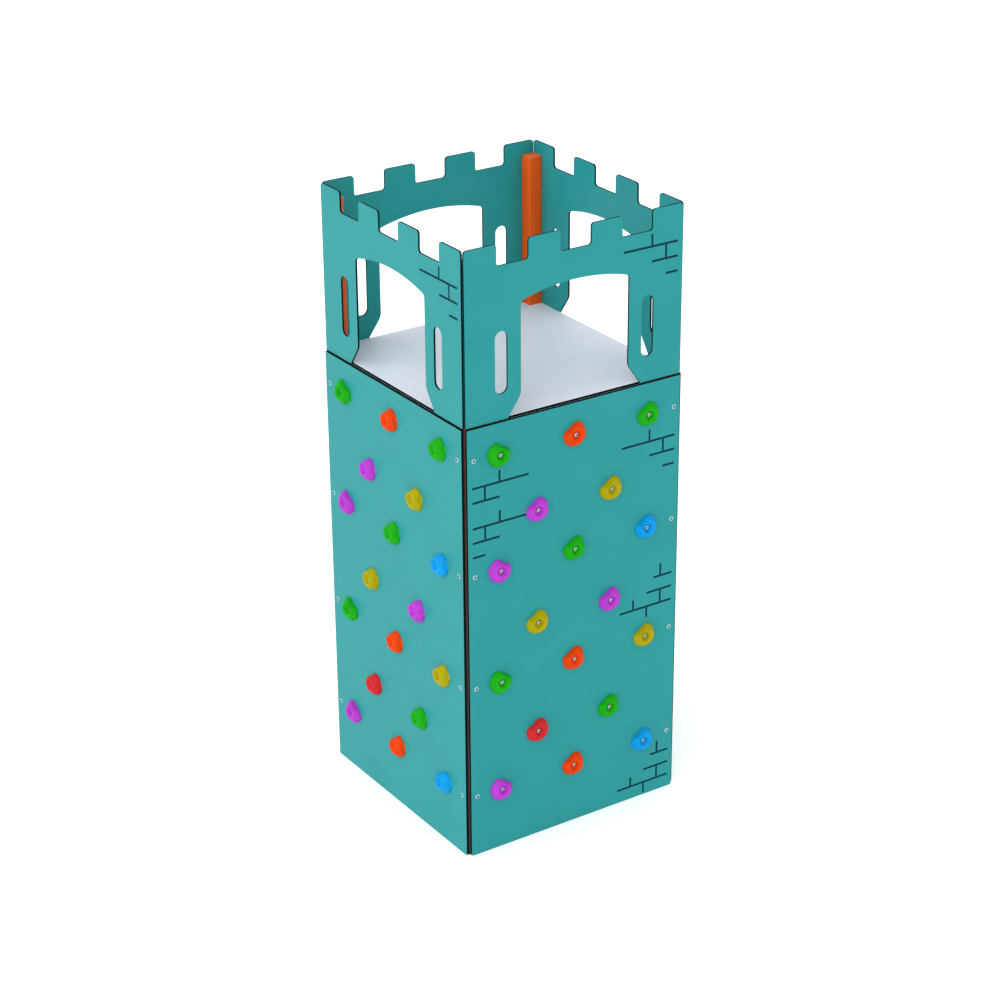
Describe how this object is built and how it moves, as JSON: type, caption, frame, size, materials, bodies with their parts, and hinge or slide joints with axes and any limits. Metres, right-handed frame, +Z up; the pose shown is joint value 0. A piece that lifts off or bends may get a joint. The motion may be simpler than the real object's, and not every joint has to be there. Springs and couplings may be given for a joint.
{
  "type": "rock climbing wall",
  "caption": "Square castle climbing tower: teal boards with coloured holds on every side, rising to a deck inside battlement boards with arches, on orange posts.",
  "frame": {"origin": "on the ground at the middle of the tower", "axes": "+Z up; -Y faces the front board, +X the right board, as seen from the front"},
  "size_m": [1.272, 1.272, 2.98],
  "materials": {
    "board_teal": "satin teal compact laminate with a black core",
    "post_orange": "orange powder coat",
    "cap_orange": "moulded orange plastic",
    "frame_steel": "galvanised steel",
    "deck_grey": "light grey compact laminate with an anti-slip texture and a black core",
    "spacer_rubber": "black rubber",
    "fastener_steel": "stainless steel",
    "hold_green": "cast resin, fine grain",
    "hold_magenta": "cast resin, fine grain",
    "hold_orange": "cast resin, fine grain",
    "hold_yellow": "cast resin, fine grain",
    "hold_blue": "cast resin, fine grain",
    "hold_red": "cast resin, fine grain"
  },
  "bodies": {
    "root": {"post_front_left": "post_orange", "post_front_right": "post_orange", "post_back_right": "post_orange", "post_back_left": "post_orange", "post_caps": "cap_orange", "base_plates": "frame_steel", "climbing_board_front": "board_teal", "battlement_board_front": "board_teal", "deck_beam_front": "frame_steel", "mid_rail_front": "frame_steel", "bottom_rail_front": "frame_steel", "green_holds_front": "hold_green", "magenta_holds_front": "hold_magenta", "orange_holds_front": "hold_orange", "yellow_holds_front": "hold_yellow", "blue_holds_front": "hold_blue", "red_holds_front": "hold_red", "climbing_board_right": "board_teal", "battlement_board_right": "board_teal", "deck_beam_right": "frame_steel", "mid_rail_right": "frame_steel", "bottom_rail_right": "frame_steel", "green_holds_right": "hold_green", "magenta_holds_right": "hold_magenta", "orange_holds_right": "hold_orange", "yellow_holds_right": "hold_yellow", "blue_holds_right": "hold_blue", "red_holds_right": "hold_red", "climbing_board_back": "board_teal", "battlement_board_back": "board_teal", "deck_beam_back": "frame_steel", "mid_rail_back": "frame_steel", "bottom_rail_back": "frame_steel", "green_holds_back": "hold_green", "magenta_holds_back": "hold_magenta", "orange_holds_back": "hold_orange", "yellow_holds_back": "hold_yellow", "blue_holds_back": "hold_blue", "red_holds_back": "hold_red", "climbing_board_left": "board_teal", "battlement_board_left": "board_teal", "deck_beam_left": "frame_steel", "mid_rail_left": "frame_steel", "bottom_rail_left": "frame_steel", "green_holds_left": "hold_green", "magenta_holds_left": "hold_magenta", "orange_holds_left": "hold_orange", "yellow_holds_left": "hold_yellow", "blue_holds_left": "hold_blue", "red_holds_left": "hold_red", "deck_panel": "deck_grey", "deck_joists": "frame_steel", "deck_screws": "fastener_steel", "board_screws": "fastener_steel", "battlement_bolts": "fastener_steel", "rail_bolts": "fastener_steel", "rivet_nuts": "fastener_steel", "hold_bolts": "fastener_steel", "t_nuts": "fastener_steel", "board_spacers": "spacer_rubber"}
  },
  "joints": []
}
